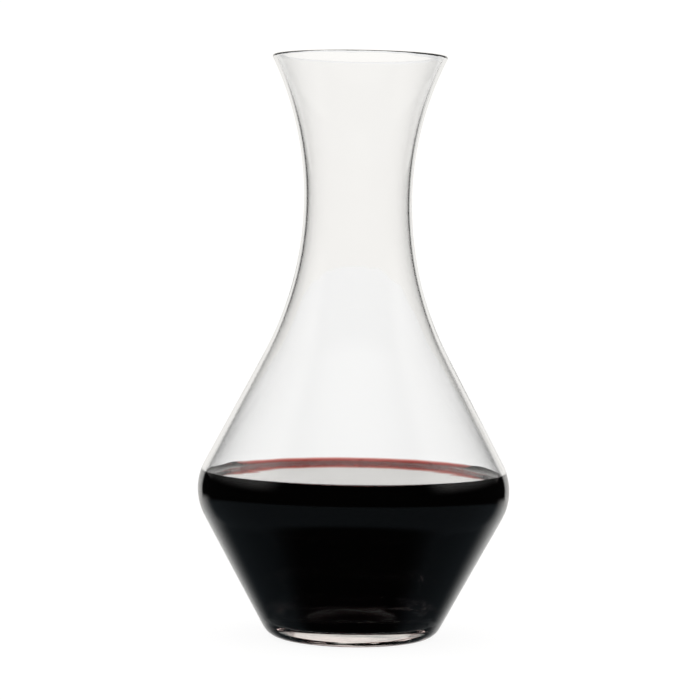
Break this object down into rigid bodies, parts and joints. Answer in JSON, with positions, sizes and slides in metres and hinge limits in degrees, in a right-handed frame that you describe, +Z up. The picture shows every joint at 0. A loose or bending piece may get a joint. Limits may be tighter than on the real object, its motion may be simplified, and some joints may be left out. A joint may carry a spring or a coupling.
{
  "type": "wine decanter",
  "caption": "Clear blown-glass carafe with a double-cone bowl, a long waisted neck and a flared mouth, part-filled with red wine.",
  "frame": {"origin": "middle of the resting ring, on the surface that the decanter stands on", "axes": "+Z up along the vessel's axis of turning; +X and +Y are any two level directions, because the vessel is round"},
  "size_m": [0.145, 0.145, 0.27],
  "materials": {
    "clear_glass": "gloss",
    "red_wine": "gloss"
  },
  "bodies": {
    "root": {"glass_vessel": "clear_glass", "wine": "red_wine"}
  },
  "joints": []
}
